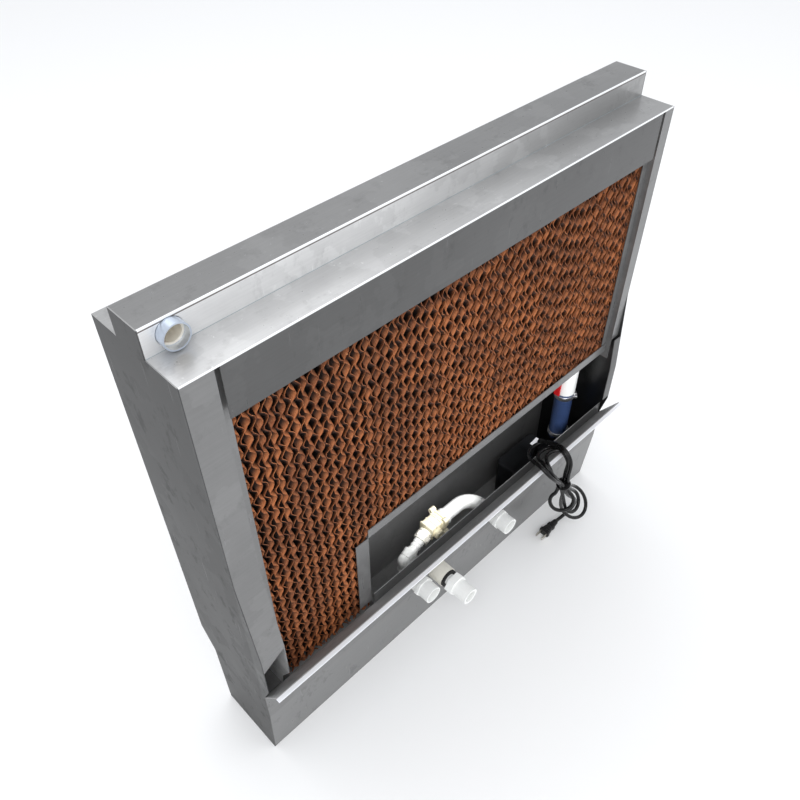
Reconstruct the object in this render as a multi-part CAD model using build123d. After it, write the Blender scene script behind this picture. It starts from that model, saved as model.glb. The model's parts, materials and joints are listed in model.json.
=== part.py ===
from build123d import *
from math import cos, sin, tan, radians, hypot
import os

# Evaporative cooling pad unit: a galvanised sheet case that holds two blocks of
# corrugated cellulose pad over a water sump, with a pump bay at the lower right.
# Millimetres. While it is drawn, x runs from the left end plate to the right one,
# y runs back from the front face and z runs up from the floor. At the end all
# pieces move so that the origin is under the middle of the whole unit.

# Case
width = 780.0
depth = 144.8
sheet = 1.2
ledge_height = 760.0
ledge_depth = 51.4
hood_depth = 48.0
hood_clearance = 0.2
fascia_height = 67.0
lap = 12.0
header_gap = 6.0
ledge_lap = 9.0
rear_lap = 45.0
rivet_gap = 0.3

# Sump
sump_rear = 123.5
sump_toe = 9.5
sump_toe_height = 118.0
lip_root_height = 178.0
lip_reach = 33.3
lip_height = 226.0
hem_width = 6.6
jog_low = 148.5
jog_high = 192.0
sump_rear_height = 206.0
flare_left = 18.0
flare_right = 10.0
flare_low = 222.0
flare_high = 300.0
flare_top = 450.0

# Jambs and pad stops
left_flange = 37.0
right_flange = 20.0
left_flange_cut = 272.0
left_flange_cut_rise = 24.0
right_joint_height = 364.0
right_joint_lap = 6.0
stop_reach = 11.0
stop_leg = 22.0
stop_setback = 9.0

# Pads
pad_thickness = 100.0
pad_clearance = 0.8
flute_pitch = 7.4
flute_depth = 16.0
left_pad_bottom = 160.0
rest_slot = (24.0, 65.0)
rest_slot_count = 3

# Pump bay
bay_wall = 207.0
bay_post_width = 22.0
bay_top = 335.0
tray_upstand = 16.0
sill_height = 203.0
drain_notch_width = 60.0
drain_notch_height = 22.0
tray_slot_count = 12
tray_slot = (22.0, 5.0)

# Pipework
pipe_outer = 25.0
pipe_inner = 20.4
socket_outer = 30.0
socket_reach = 35.0
collar_flats = 32.0
collar_setback = 10.0
collar_thickness = 5.0
nut_flats = 34.0
nut_thickness = 9.0
fitting_height = 137.0
drain_x = 299.0
inlet_x = 486.0
coupler_x = 341.0
coupler_height = 131.5
coupler_nut_flats = 26.0
coupler_body_outer = 34.0
coupler_body_length = 26.0
coupler_washer_outer = 31.0
coupler_washer_thickness = 3.5
coupler_neck_length = 7.0
coupler_neck_outer = 19.0
coupler_collar_flats = 33.0
coupler_collar_length = 12.0
coupler_socket_length = 27.0
stub_x = 30.0
stub_outer = 29.0
stub_reach = 12.0
stub_gap = 0.4
stub_mouth = 25.8
stub_mouth_depth = 9.0
stub_spigot = 12.0
sleeve_wall = 2.5
sleeve_length = 20.0
tee_length = 36.0
tee_branch = 16.0
cap_length = 16.0
elbow_cut = 9.0
run_clearance = 1.9
spray_hole = 4.0
spray_hole_count = 8

# Inlet valve train
train_depth = 59.0
bend_cut = 15.0
union_x = 411.0
union_outer = 33.0
union_length = 13.0
union_plate = 31.0
union_lug = 5.0
valve_length = 26.0
valve_size = 29.0
bonnet_outer = 19.0
bonnet_length = 8.0
outlet_droop = 16.0
outlet_nut_outer = 27.0
outlet_nut_length = 17.0
nipple_outer = 19.0
nipple_length = 24.0
elbow_outer = 27.0
elbow_drop = 24.0

# Pump, hose and riser
pump_length = 106.0
pump_to_riser = 26.0
pump_front = 24.0
pump_back = 96.0
pump_foot = 10.0
pump_top = 104.0
pump_corner = 12.0
pump_slot = 3.0
pump_slot_pitch = 8.0
volute_outer = 62.0
volute_length = 12.0
volute_nose_outer = 50.0
volute_nose_length = 30.0
volute_height = 52.0
riser_inset = 42.0
riser_y = 55.0
outlet_outer = 27.0
outlet_top = 138.0
hose_bottom = 112.0
hose_top = 226.0
hose_outer = 33.0
clamp_width = 9.0
clamp_thickness = 1.4
valve_bottom = 214.0
valve_top = 303.0
valve_barrel = 36.0
valve_end = 37.5
stem_height = 272.0
stem_outer = 9.0
lever_length = 40.0
lever_width = 11.0
lever_thickness = 4.0
riser_back = 129.0
riser_top = 752.0

# Power cord: points of its free run from the gland, then the hank and the plug
cord_outer = 6.5
gland_outer = 11.0
gland_length = 14.0
gland_inset = (44.0, 16.0)
hank_offset = -50.0
hank_lean = 88.0
hank_width = 46.0
hank_thickness = 24.0
lead_steps = [(0.0, 0.0, 32.0), (-10.0, -9.0, 62.0), (-26.0, -18.0, 82.0), (-46.0, -31.0, 83.0)]
plug_offset = 1.0
plug_y = -36.0
plug_height = 9.0
plug_length = 30.0
plug_pin = 15.0
plug_pin_pitch = 12.7
tail_steps = [(61.0, -2.0, 3.0), (81.0, -14.0, 13.0)]


def sheet_outline(points, thickness):
    """Closed outline of a bent sheet: the points and their offset to the left."""
    count = len(points)
    normals = []
    for (ax, ay), (bx, by) in zip(points, points[1:]):
        run = hypot(bx - ax, by - ay)
        normals.append(((ay - by) / run, (bx - ax) / run))
    inner = []
    for i, (px, py) in enumerate(points):
        before = normals[max(i - 1, 0)]
        after = normals[min(i, count - 2)]
        mx, my = before[0] + after[0], before[1] + after[1]
        scale = thickness * 2.0 / (mx * mx + my * my)
        inner.append((px + mx * scale, py + my * scale))
    return list(points) + inner[::-1]


def along_x(outline, start, end):
    """Solid whose section in y and z is the outline, from x = start to end."""
    face = make_face(Plane.YZ * Polyline(*outline, close=True))
    return Pos(start, 0, 0) * extrude(face, amount=end - start, dir=(1, 0, 0))


def along_z(outline, start, end):
    """Solid whose section in x and y is the outline, from z = start to end."""
    face = make_face(Polyline(*outline, close=True))
    return Pos(0, 0, start) * extrude(face, amount=end - start, dir=(0, 0, 1))


def block(x, y, z):
    """Box between three (low, high) pairs."""
    size = (x[1] - x[0], y[1] - y[0], z[1] - z[0])
    centre = ((x[0] + x[1]) / 2, (y[0] + y[1]) / 2, (z[0] + z[1]) / 2)
    return Pos(*centre) * Box(*size)


def rod(start, direction, outer, length, inner=0.0):
    """Round bar or tube from a start point along a direction."""
    plane = Plane(origin=start, z_dir=direction)
    bar = plane * Cylinder(outer / 2, length, align=(Align.CENTER, Align.CENTER, Align.MIN))
    if inner:
        bar -= plane * Cylinder(inner / 2, length, align=(Align.CENTER, Align.CENTER, Align.MIN))
    return bar


def hex_bar(start, direction, flats, length):
    """Hexagonal bar with its upper and lower flats level."""
    level = (0, 1, 0) if direction[0] else (1, 0, 0)
    plane = Plane(origin=start, x_dir=level, z_dir=direction)
    section = plane * RegularPolygon(flats / 2, 6, major_radius=False)
    return extrude(section, amount=length, dir=direction)


sleeve = pipe_outer + 2 * sleeve_wall
hood_height = ledge_height + sleeve + 2 * (sheet + hood_clearance)
hood_back = ledge_depth + hood_depth
spray_height = (ledge_height + hood_height) / 2
spray_y = ledge_depth + hood_depth / 2
stub_end = ledge_depth - stub_reach
pad_top = ledge_height - sheet - pipe_outer - 2 * run_clearance
riser_x = width - riser_inset
pump_right = riser_x - pump_to_riser
pump_left = pump_right - pump_length
gland_x, gland_y = pump_left + gland_inset[0], pump_front + gland_inset[1]
hank_x = gland_x + hank_offset
inner_left = sheet
inner_right = width - sheet
left_web = left_flange
right_web = width - right_flange
pad_front = stop_setback + sheet + pad_clearance
pad_back = pad_front + pad_thickness
tray_floor = bay_top + sheet
stop_top = ledge_height - sheet
forward, back, right, up = (0, -1, 0), (0, 1, 0), (1, 0, 0), (0, 0, 1)


def end_plate(x, flare):
    """Cut side sheet; its front edge kicks out just above the sump lip."""
    outline = [
        (sump_toe, 0), (sump_rear, 0), (sump_rear, jog_low), (depth, jog_high),
        (depth, ledge_height), (hood_back, ledge_height), (hood_back, hood_height),
        (ledge_depth, hood_height), (ledge_depth, ledge_height), (0, ledge_height),
        (0, flare_top), (-flare, flare_high), (-flare, flare_low),
        (0, lip_root_height), (0, sump_toe_height),
    ]
    return along_x(outline, x, x + sheet)


def sump_trough():
    """One folded sheet: hem, drip lip, front wall, floor, rear wall and jog."""
    hem_edge = -lip_reach - hem_width
    path = [
        (hem_edge, lip_height), (-lip_reach, lip_height), (0, lip_root_height),
        (0, sump_toe_height), (sump_toe, 0), (sump_rear, 0), (sump_rear, jog_low),
        (depth, jog_high), (depth, sump_rear_height),
    ]
    trough = along_x(sheet_outline(path, sheet), inner_left, inner_right)
    under = (lip_height - sheet, lip_height)
    trough += block((inner_left, inner_right), (hem_edge, hem_edge + hem_width - sheet), under)
    for x, z, bore in (
        (drain_x, fitting_height, pipe_outer), (inlet_x, fitting_height, pipe_outer),
        (coupler_x, coupler_height, coupler_neck_outer),
    ):
        trough -= rod((x, -5, z), back, bore + 2 * rivet_gap, 15)
    return trough


def bay_sill():
    """Upright strip that closes the front of the bay above the sump wall."""
    return block((bay_wall + sheet, inner_right), (sheet, 2 * sheet), (lip_root_height - lap, sill_height))


def pad_rest():
    """Folded rest under the narrow pad, with drain slots."""
    top = left_pad_bottom - sheet
    path = [(6, top - lap), (6, top), (sump_rear - 3, top), (sump_rear - 3, top - lap)]
    rest = along_x(sheet_outline(path, sheet), inner_left, bay_wall)
    reach, middle = rest_slot[0] / 2, (pad_front + pad_back) / 2
    across = (middle - rest_slot[1] / 2, middle + rest_slot[1] / 2)
    for i in range(rest_slot_count):
        x = left_web + (bay_wall - left_web) * (i + 0.5) / rest_slot_count
        rest -= block((x - reach, x + reach), across, (top - sheet, top + 2 * sheet))
    return rest


def left_jamb():
    """Folded jamb: front flange cut short on a slant, deep web, rear flange."""
    path = [(-flare_left, left_flange_cut - lap), (-flare_left, flare_high), (0, flare_top), (0, stop_top)]
    flange = along_x(sheet_outline(path, -sheet), inner_left, left_web)
    slant = [
        (0, 0), (left_flange, 0), (left_flange, left_flange_cut + left_flange_cut_rise),
        (0, left_flange_cut),
    ]
    wedge = extrude(make_face(Plane.XZ * Polyline(*slant, close=True)), amount=60, both=True)
    web = along_x(
        [
            (-flare_left, flare_low + 6), (-flare_left, flare_high), (0, flare_top), (0, stop_top),
            (depth, stop_top), (depth, sump_rear_height), (sump_rear - 3, sump_rear_height),
            (sump_rear - 3, left_pad_bottom), (6, left_pad_bottom), (2 * sheet, lip_root_height + lap),
        ],
        left_web - sheet, left_web,
    )
    rear = block((inner_left, left_web), (depth - sheet, depth), (sump_rear_height, stop_top))
    return (flange - wedge) + web + rear


def right_jamb_upper():
    """Folded jamb beside the wide pad."""
    low = right_joint_height
    front = block((right_web, inner_right), (0, sheet), (low, stop_top))
    web = block((right_web, right_web + sheet), (0, depth), (bay_top - lap, stop_top))
    rear = block((right_web, inner_right), (depth - sheet, depth), (sump_rear_height, stop_top))
    return front + web + rear


def right_jamb_lower():
    """Short flange beside the bay; it kicks out with the end plate."""
    top = right_joint_height - rivet_gap
    kick = flare_right * (flare_top - top) / (flare_top - flare_high)
    path = [(-flare_right, flare_low + 6), (-flare_right, flare_high), (-kick, top)]
    return along_x(sheet_outline(path, -sheet), right_web + 2 * sheet, inner_right)


def pad_stop(x, y, side, face, bottom, top):
    """Angle that keeps a pad in: one leg on the jamb web, the other over the pad."""
    legs = sheet_outline([(x + side * stop_reach, y), (x, y), (x, y - face * stop_leg)], side * face * sheet)
    return along_z(legs, bottom, top)


def bay_side():
    """Folded wall between the narrow pad and the bay, with its front post."""
    clear = sheet
    outline = [
        (sump_toe + 2 * clear, clear), (sump_rear - clear, clear), (sump_rear - clear, jog_low + 0.5),
        (depth - clear, jog_high + 0.5), (depth - clear, bay_top), (stop_setback - clear, bay_top),
        (stop_setback - clear, lip_root_height), (2 * clear, lip_root_height - lap),
        (2 * clear, sump_toe_height),
    ]
    wall = along_x(outline, bay_wall, bay_wall + sheet)
    middle = sump_rear / 2
    wall -= block(
        (bay_wall - 1, bay_wall + 3), (middle - drain_notch_width / 2, middle + drain_notch_width / 2),
        (0, drain_notch_height),
    )
    post = (stop_setback - clear, stop_setback)
    return wall + block((bay_wall - bay_post_width, bay_wall), post, (lip_root_height + 1, bay_top))


def pad_tray():
    """Channel under the wide pad; its front upstand is the rail over the bay."""
    front, rear = stop_setback - sheet, depth - sheet
    path = [
        (front, bay_top + tray_upstand), (front, bay_top), (rear, bay_top), (rear, bay_top + tray_upstand),
    ]
    tray = along_x(sheet_outline(path, sheet), bay_wall + sheet, right_web)
    pitch = (right_web - bay_wall - 60) / (tray_slot_count - 1)
    reach, middle = tray_slot[0] / 2, pad_back - 30
    for i in range(tray_slot_count):
        x = bay_wall + 30 + i * pitch
        across = (middle - tray_slot[1] / 2, middle + tray_slot[1] / 2)
        tray -= block((x - reach, x + reach), across, (bay_top - 2, bay_top + 4))
    return tray - rod((riser_x, riser_back, bay_top - 2), up, pipe_outer + 2, 6)


def front_header():
    """Folded ledge and fascia over the pads."""
    path = [(0, ledge_height - fascia_height), (0, ledge_height), (ledge_depth + ledge_lap, ledge_height)]
    header = along_x(sheet_outline(path, -sheet), inner_left, inner_right)
    low = (ledge_height - fascia_height - 1, stop_top)
    for x in ((0, left_web + header_gap), (right_web - header_gap, width)):
        header -= block(x, (-1, sheet + 0.01), low)
    return header


def rear_header():
    """Folded ledge and lap at the back of the top."""
    path = [(hood_back - ledge_lap, ledge_height), (depth, ledge_height), (depth, ledge_height - rear_lap)]
    header = along_x(sheet_outline(path, -sheet), inner_left, inner_right)
    low = (ledge_height - rear_lap - 1, stop_top)
    for x in ((0, left_web), (right_web, width)):
        header -= block(x, (depth - sheet - 0.01, depth + 1), low)
    return header


def spray_hood():
    """Raised cover over the spray pipe, with the hole for its stub."""
    path = [
        (ledge_depth, ledge_height), (ledge_depth, hood_height), (hood_back, hood_height),
        (hood_back, ledge_height),
    ]
    hood = along_x(sheet_outline(path, -sheet), inner_left, inner_right)
    return hood - rod((stub_x, ledge_depth - 2, spray_height), back, stub_outer + 2 * stub_gap, 6)


def pad_block(left, right_edge, bottom):
    """Pad block up to the pad top, its front and rear cut into upright flutes."""
    count = max(1, round((right_edge - left) / flute_pitch))
    pitch = (right_edge - left) / count
    front, rear = [(left, pad_front)], [(left, pad_back)]
    for i in range(count):
        x = left + i * pitch
        front += [(x + pitch / 2, pad_front + flute_depth), (x + pitch, pad_front)]
        rear += [(x + pitch / 2, pad_back - flute_depth), (x + pitch, pad_back)]
    return along_z(front + rear[::-1], bottom, pad_top)


def narrow_pad():
    left, step = left_web + sheet + pad_clearance, bay_wall - pad_clearance
    return pad_block(left, step, left_pad_bottom + 0.3) + pad_block(step, bay_wall + 6.5, tray_floor + 0.3)


def wide_pad():
    return pad_block(bay_wall + 7.0, right_web - sheet - pad_clearance, tray_floor + 0.3)


def wall_socket(x, reach):
    """Bulkhead socket through the sump wall: hexagon, socket with a stepped bore, tail."""
    z = fitting_height
    body = rod((x, -reach, z), back, socket_outer, reach)
    body += hex_bar((x, -collar_setback - collar_thickness, z), back, collar_flats, collar_thickness)
    body += rod((x, 0, z), back, pipe_outer, sheet + nut_thickness + 3)
    body -= rod((x, -reach, z), back, pipe_outer + 0.2, reach - 6)
    return body - rod((x, -reach, z), back, pipe_inner, reach + 30)


def wall_nut(x, z, bore, flats):
    """Hexagonal back nut inside the sump wall."""
    nut = hex_bar((x, sheet, z), back, flats, nut_thickness)
    return nut - rod((x, 0, z), back, bore + 0.2, 20)


def coupler_pieces():
    """Hose coupler: body, rubber washer and hexagonal adapter on one axis."""
    x, z = coupler_x, coupler_height
    body = rod((x, -coupler_body_length, z), back, coupler_body_outer, coupler_body_length)
    body += rod((x, 0, z), back, coupler_neck_outer, sheet + nut_thickness + 3)
    y = -coupler_body_length - coupler_washer_thickness
    washer = rod((x, y, z), back, coupler_washer_outer, coupler_washer_thickness)
    adapter = rod((x, y - coupler_neck_length, z), back, coupler_neck_outer, coupler_neck_length)
    y -= coupler_neck_length + coupler_collar_length
    adapter += hex_bar((x, y, z), back, coupler_collar_flats, coupler_collar_length)
    y -= coupler_socket_length
    adapter += rod((x, y, z), back, socket_outer - 1, coupler_socket_length)
    adapter -= rod((x, y, z), back, pipe_inner, coupler_socket_length)
    return {"coupler_body": body, "coupler_washer": washer, "coupler_adapter": adapter}


def bent_bar(points, radii, outer):
    """Eight-sided bar along straight runs joined by tangent arcs."""
    corners = [Vector(*p) for p in points]
    start, bar = corners[0], None
    side = Plane(origin=start, z_dir=corners[1] - start).x_dir
    for before, here, after, radius in zip(corners, corners[1:], corners[2:], radii):
        into, out = (here - before).normalized(), (after - here).normalized()
        turn, pivot = into.get_angle(out), into.cross(out)
        reach = radius * tan(radians(turn) / 2)
        arc_start = here - into * reach
        centre = arc_start + (out - into * into.dot(out)).normalized() * radius
        section = Plane(origin=start, x_dir=side, z_dir=into) * RegularPolygon(outer / 2, 8)
        run = extrude(section, amount=(arc_start - start).length, dir=into)
        section = Plane(origin=arc_start, x_dir=side, z_dir=into) * RegularPolygon(outer / 2, 8)
        arc = revolve(section, axis=Axis(centre, pivot), revolution_arc=turn)
        bar = run + arc if bar is None else bar + run + arc
        start = here + out * reach
        side = side.rotate(Axis((0, 0, 0), pivot), turn)
    last = corners[-1] - start
    section = Plane(origin=start, x_dir=side, z_dir=last) * RegularPolygon(outer / 2, 8)
    return bar + extrude(section, amount=last.length, dir=last)


def mitred_bar(points, outer):
    """Round bar along straight runs joined by mitres."""
    corners = [Vector(*p) for p in points]
    bar = None
    for i, (here, after) in enumerate(zip(corners, corners[1:])):
        along = (after - here).normalized()
        low = 0 if i == 0 else outer
        high = 0 if i == len(corners) - 2 else outer
        run = rod(here - along * low, along, outer, (after - here).length + low + high)
        if i:
            bend = (along + (here - corners[i - 1]).normalized()).normalized()
            run -= Plane(origin=here, z_dir=-bend) * cutter(4 * outer)
        if i < len(corners) - 2:
            bend = (along + (corners[i + 2] - after).normalized()).normalized()
            run -= Plane(origin=after, z_dir=bend) * cutter(4 * outer)
        bar = run if bar is None else bar + run
    return bar


def cutter(size):
    """Block above the plane it is placed on."""
    return Box(size, size, size, align=(Align.CENTER, Align.CENTER, Align.MIN))


def elbow_corner(before, corner, after, cut):
    """The corner and its two neighbours, with the corner cut off twice."""
    here = Vector(*corner)
    into = (here - Vector(*before)).normalized()
    out = (Vector(*after) - here).normalized()
    return [before, here - into * cut, here + out * cut, after]


def inlet_pieces():
    """Inlet pipe, its union, the valve and the outlet that points down."""
    z, tail = fitting_height, sheet + nut_thickness + 3
    pieces = {}
    corner = (inlet_x, train_depth, z)
    end = (union_x + union_length / 2, train_depth, z)
    route = elbow_corner((inlet_x, tail, z), corner, end, bend_cut)
    pieces["inlet_pipe"] = mitred_bar(route, pipe_outer)
    left, plate = (-1, 0, 0), union_length - 2 * union_lug + 2
    union = rod(end, left, union_outer, union_length - plate)
    x, half = end[0] - union_length, union_plate / 2
    union += block((x, x + plate), (train_depth - half, train_depth + half), (z - half, z + half))
    for side in (-1, 1):
        for level in (-1, 1):
            spot = (x + plate, train_depth + side * half, z + level * half)
            union += hex_bar(spot, left, 2 * union_lug, plate)
    pieces["inlet_union"] = union
    half = valve_size / 2
    body = block((x - valve_length, x), (train_depth - half, train_depth + half), (z - half, z + half))
    body = chamfer(body.edges().filter_by(Axis.X), 4)
    middle = x - valve_length / 2
    bonnet = rod((middle, train_depth - half, z - 3), forward, bonnet_outer, bonnet_length)
    pieces["inlet_valve"] = body + bonnet
    x -= valve_length
    slope = radians(outlet_droop)
    out = Vector(-cos(slope), -0.12, -sin(slope)).normalized()
    neck = Vector(x, train_depth, z - 4)
    cut = block((x, x + 30), (train_depth - 60, train_depth + 60), (z - 60, z + 60))
    nut = rod(neck - out * 6, out, outlet_nut_outer, outlet_nut_length + 6)
    lug = outlet_nut_length - 5
    for turn in range(0, 360, 90):
        spot = Plane(origin=neck + out * 3, x_dir=(0, 1, 0), z_dir=out) * Rot(0, 0, turn + 20)
        nut += spot * Pos(outlet_nut_outer / 2, 0, lug / 2) * Box(5, 5, lug)
    pieces["outlet_nut"] = nut - cut
    nipple_start = neck + out * outlet_nut_length
    pieces["outlet_nipple"] = rod(nipple_start, out, nipple_outer, nipple_length)
    joint = nipple_start + out * nipple_length
    knee = joint + out * (elbow_outer / 2 + 3)
    foot = knee - Vector(0, 0, elbow_drop)
    elbow = mitred_bar(elbow_corner(joint, knee, foot, elbow_outer / 4), elbow_outer)
    pieces["outlet_elbow"] = elbow - rod(foot, up, pipe_inner, elbow_drop - elbow_outer / 2)
    return pieces


def pump_pieces():
    """Submersible pump: slotted body on four feet, volute with its spout, cord gland."""
    middle = (pump_front + pump_back) / 2
    body = block((pump_left, pump_right), (pump_front, pump_back), (pump_foot, pump_top))
    body = fillet(body.edges().filter_by(Axis.Z), pump_corner)
    body = chamfer(body.edges().group_by(Axis.Z)[-1], 3)
    count = int((pump_right - pump_left - 4 * pump_corner) / pump_slot_pitch)
    first = (pump_left + pump_right) / 2 - (count - 1) * pump_slot_pitch / 2
    for i in range(count):
        x = first + i * pump_slot_pitch
        for y in (pump_front, pump_back):
            body -= block(
                (x - pump_slot / 2, x + pump_slot / 2), (y - 3, y + 3), (pump_foot + 8, pump_foot + 38),
            )
    body += rod((gland_x, gland_y, pump_top), up, gland_outer, gland_length)
    pieces = {"pump_body": body}
    spot = 0
    for x in (pump_left + 16, pump_right - 16):
        for y in (pump_front + 16, pump_back - 16):
            spot += 1
            foot = block((x - 9, x + 9), (y - 9, y + 9), (sheet, pump_foot))
            pieces[f"pump_foot_{spot}"] = chamfer(foot.edges().group_by(Axis.Z)[0], 2)
    volute = rod((pump_right, riser_y, volute_height), right, volute_outer, volute_length)
    nose = (pump_right + volute_length, riser_y, volute_height)
    volute += rod(nose, right, volute_nose_outer, volute_nose_length)
    spout = outlet_top - volute_height
    volute += rod((riser_x, riser_y, volute_height), up, outlet_outer - 0.6, spout)
    pieces["pump_volute"] = volute
    return pieces


def riser_pieces():
    """Hose with two band clamps, ball valve with its lever, and the riser pipe."""
    hose = rod((riser_x, riser_y, hose_bottom), up, hose_outer, hose_top - hose_bottom, outlet_outer)
    pieces = {"pump_hose": hose}
    for name, z in (("hose_clamp_upper", hose_top - 5), ("hose_clamp_lower", hose_bottom + 4 + clamp_width)):
        outer = hose_outer + 2 * clamp_thickness
        clamp = rod((riser_x, riser_y, z - clamp_width), up, outer, clamp_width, hose_outer)
        screw = Pos(riser_x + outer * 0.42, riser_y - outer * 0.33, z - clamp_width / 2) * Rot(0, 0, -38)
        housing = screw * Box(8, 16, clamp_width - 1)
        housing -= rod((riser_x, riser_y, z - 20), up, hose_outer, 40)
        pieces[name] = clamp + housing
    valve = rod((riser_x, riser_y, valve_bottom + 12), up, valve_barrel, valve_top - valve_bottom - 12)
    valve += Plane(origin=(riser_x, riser_y, valve_top - 16)) * extrude(
        RegularPolygon(valve_end / 2, 8, major_radius=False), amount=16
    )
    valve += rod((riser_x, riser_y, valve_bottom - 30), up, outlet_outer - 0.6, 42)
    boss_reach = valve_barrel / 2 + 6
    valve += rod((riser_x, riser_y, stem_height), (-1, 0, 0), 20, boss_reach)
    valve -= rod((riser_x - boss_reach, riser_y, stem_height), right, stem_outer + 0.6, 14)
    valve -= rod((riser_x, riser_y, valve_top - 14), up, pipe_outer + 0.2, 20)
    pieces["riser_valve"] = valve
    face = riser_x - boss_reach - 0.4
    lever = rod((face - lever_thickness, riser_y, stem_height), right, 18, lever_thickness)
    lever += block(
        (face - lever_thickness, face), (riser_y - lever_width / 2, riser_y + lever_width / 2),
        (stem_height - lever_length, stem_height),
    )
    lever += rod((face - lever_thickness, riser_y, stem_height), right, stem_outer, lever_thickness + 12)
    pieces["valve_lever"] = lever
    return pieces


def spray_pieces():
    """Riser up behind the wide pad, spray pipe in the hood and its open stub."""
    run = pad_top + run_clearance + pipe_outer / 2
    under = bay_top - 1.5 - pipe_outer / 2
    fit = pipe_outer + 0.6
    tee_end = spray_height - tee_branch
    corners = [
        (riser_x, riser_y, valve_top - 14), (riser_x, riser_y, under), (riser_x, riser_back, under),
        (riser_x, riser_back, run), (riser_x, spray_y, run), (riser_x, spray_y, tee_end),
    ]
    route = corners[:1]
    for before, corner, after in zip(corners, corners[1:], corners[2:]):
        route += elbow_corner(before, corner, after, elbow_cut)[1:3]
    pieces = {"riser_pipe": mitred_bar(route + corners[-1:], pipe_outer)}
    start, end = stub_x + sleeve / 2 + 3, inner_right - 0.3
    tube = rod((start, spray_y, spray_height), right, pipe_outer, end - start)
    tube += rod((riser_x - tee_length / 2, spray_y, spray_height), right, sleeve, tee_length)
    tube += rod((riser_x, spray_y, tee_end), up, sleeve, tee_branch)
    tube += rod((end - cap_length, spray_y, spray_height), right, sleeve, cap_length)
    tube += rod((start - 1, spray_y, spray_height), right, sleeve, sleeve_length)
    tube -= rod((start - 2, spray_y, spray_height), right, pipe_inner, riser_x - start)
    pitch = (right_web - 2 * left_web) / (spray_hole_count - 1)
    for i in range(spray_hole_count):
        x = left_web + sleeve_length + i * pitch
        low = spray_height - pipe_outer / 2 - 2
        across = (x - spray_hole / 2, x + spray_hole / 2)
        tube -= block(across, (spray_y - 1, spray_y + 1), (low, spray_height - pipe_inner / 4))
    pieces["spray_pipe"] = tube
    front = (stub_x, ledge_depth + 5, spray_height)
    corner = [front, (stub_x, spray_y, spray_height), (start - 1, spray_y, spray_height)]
    elbow = mitred_bar(elbow_corner(*corner, 7), sleeve)
    pieces["spray_elbow"] = elbow - rod(front, back, fit, stub_spigot)
    stub = rod((stub_x, stub_end, spray_height), back, stub_outer, front[1] - 0.2 - stub_end)
    stub += rod((front[0], front[1] - 1, front[2]), back, pipe_outer, stub_spigot + 0.8)
    stub -= rod((stub_x, stub_end, spray_height), back, pipe_inner, stub_reach + 40)
    pieces["supply_stub"] = stub - rod((stub_x, stub_end, spray_height), back, stub_mouth, stub_mouth_depth)
    return pieces


def cord_radii(points):
    """Bend radii from the shorter run beside each corner and its turn."""
    corners = [Vector(*p) for p in points]
    radii = []
    for before, here, after in zip(corners, corners[1:], corners[2:]):
        into, out = here - before, after - here
        turn = radians(into.get_angle(out))
        radii.append(0.45 * min(into.length, out.length) * cos(turn / 2) / sin(turn / 2))
    return radii


def cord_pieces():
    """Free cord: a lead to the hank, the hank over the lip, a tail and the plug."""
    hem_edge = -lip_reach - hem_width
    top, outside = sill_height + 8, hem_edge - 4
    saddle = [
        (14, sill_height - 12), (14, top), (4, top + hank_thickness - 8), (-lip_reach, lip_height + 28),
        (outside - 12, lip_height + 22), (outside - hank_thickness, lip_height - 4),
        (outside, lip_height - 6), (outside + 1, lip_height + 6), (-lip_reach, lip_height + 6),
        (-6, sill_height + 5), (5, sill_height + 3), (6, sill_height - 12),
    ]
    saddle_x = (hank_x - hank_width / 2, hank_x + hank_width / 2)
    hank = along_x(saddle, *saddle_x)
    lean = [
        (saddle_x[0], lip_height - 2), (saddle_x[1], lip_height - 2),
        (saddle_x[1] + hank_lean * 0.45, lip_height * 0.55), (saddle_x[1] + hank_lean, 22),
        (saddle_x[1] + hank_lean - 16, 3), (saddle_x[0] + hank_lean + 6, 3),
        (saddle_x[0] + hank_lean - 6, 40), (saddle_x[0] + hank_lean * 0.45 + 8, lip_height * 0.55),
    ]
    face = make_face(Plane.XZ * Polyline(*lean, close=True))
    slab = Pos(0, outside - hank_thickness, 0) * extrude(face, amount=hank_thickness, dir=(0, 1, 0))
    hank += slab
    gland_end = (gland_x, gland_y, pump_top + gland_length)
    route = [gland_end] + [tuple(a + b for a, b in zip(gland_end, step)) for step in lead_steps]
    radii = cord_radii(route)
    lead = bent_bar(route, radii, cord_outer)
    x, y, z = hank_x + plug_offset, plug_y, plug_height
    face_on = Plane(origin=(x, y, z), x_dir=back, z_dir=right)
    grip = face_on.offset(plug_length * 0.55)
    plug = loft(face_on * Rectangle(17, 12) + grip * Rectangle(20, 15))
    plug = chamfer(plug.edges().group_by(Axis.X)[-1], 2)
    plug += hex_bar((x + plug_length * 0.5, y, z), right, 10, plug_length * 0.9)
    for side in (-1, 1):
        blade = y + side * plug_pin_pitch / 2
        plug += block((x - plug_pin, x + 2), (blade - 0.8, blade + 0.8), (z - 3.2, z + 3.2))
    tail_start = (x + plug_length * 1.4, y, z)
    tail_route = [tail_start] + [(x + dx, y + dy, z + dz) for dx, dy, dz in tail_steps]
    tail_radii = cord_radii(tail_route)
    tail = bent_bar(tail_route, tail_radii, cord_outer) - plug
    print("cord radii", [round(r, 1) for r in radii + tail_radii])
    return {"cord_lead": lead - hank, "cord_hank": hank, "cord_tail": tail - hank, "cord_plug": plug}


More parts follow.
